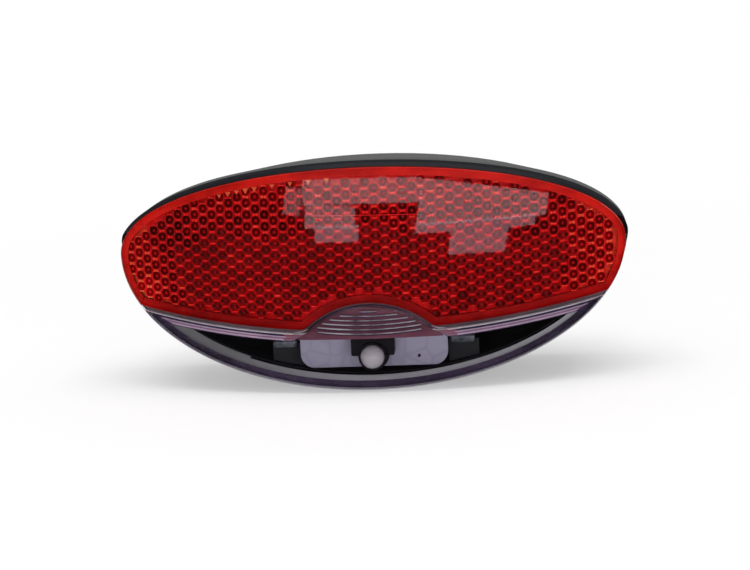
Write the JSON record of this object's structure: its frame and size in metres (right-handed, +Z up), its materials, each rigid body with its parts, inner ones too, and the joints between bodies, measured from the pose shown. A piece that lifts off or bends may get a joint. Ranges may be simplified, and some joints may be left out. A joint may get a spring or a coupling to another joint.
{
  "type": "bike rear light",
  "caption": "Wide oval carrier-mount rear light: red reflector lens over a clear LED window, black housing, two rear studs and two spade terminals.",
  "frame": {"origin": "midpoint between the two mounting studs, on the flat back face that meets the carrier", "axes": "-Y is the way the light faces, +Z is up, +X is to the right for someone looking along +Y at the front"},
  "size_m": [0.1098, 0.0542, 0.0484],
  "materials": {
    "black_housing": "fine-grained black ABS, semi-matt",
    "red_acrylic": "transparent red, polished front, hexagonal prisms behind",
    "clear_acrylic": "transparent, polished, faint violet cast at the edges",
    "black_plate": "dark plate behind the prisms",
    "black_rubber": "soft black rubber",
    "white_board": "white solder mask on a glass-fibre board",
    "black_holder": "black nylon",
    "clear_epoxy": "water-clear epoxy",
    "tinned_metal": "tin-plated leads",
    "led_die": "LED chip",
    "zinc_steel": "bright zinc-plated steel",
    "spring_steel": "blackened spring steel",
    "capacitor_can": "dark blue sleeve",
    "black_epoxy": "moulded black epoxy",
    "brass_plate": "tinned brass",
    "solder": "bright solder"
  },
  "bodies": {
    "root": {"housing": "black_housing", "red_lens": "red_acrylic", "clear_lens": "clear_acrylic", "reflector_back_plate": "black_plate", "lens_seal": "black_rubber", "circuit_board": "white_board", "board_screws": "zinc_steel", "led_holder": "black_holder", "led_body": "clear_epoxy", "led_leads": "tinned_metal", "led_chip": "led_die", "storage_capacitor": "capacitor_can", "capacitor_base": "black_epoxy", "capacitor_legs": "tinned_metal", "bridge_rectifier": "black_epoxy", "rectifier_legs": "tinned_metal", "limiter_diode": "black_epoxy", "diode_tabs": "tinned_metal", "current_transistor": "black_epoxy", "transistor_legs": "tinned_metal", "chip_resistors": "black_epoxy", "resistor_caps": "tinned_metal", "live_terminal": "brass_plate", "ground_terminal": "brass_plate", "ground_strip": "brass_plate", "mounting_bolts": "zinc_steel", "star_washers": "spring_steel", "bolt_seals": "black_rubber", "bolt_washer": "zinc_steel", "solder_joints": "solder"}
  },
  "joints": []
}
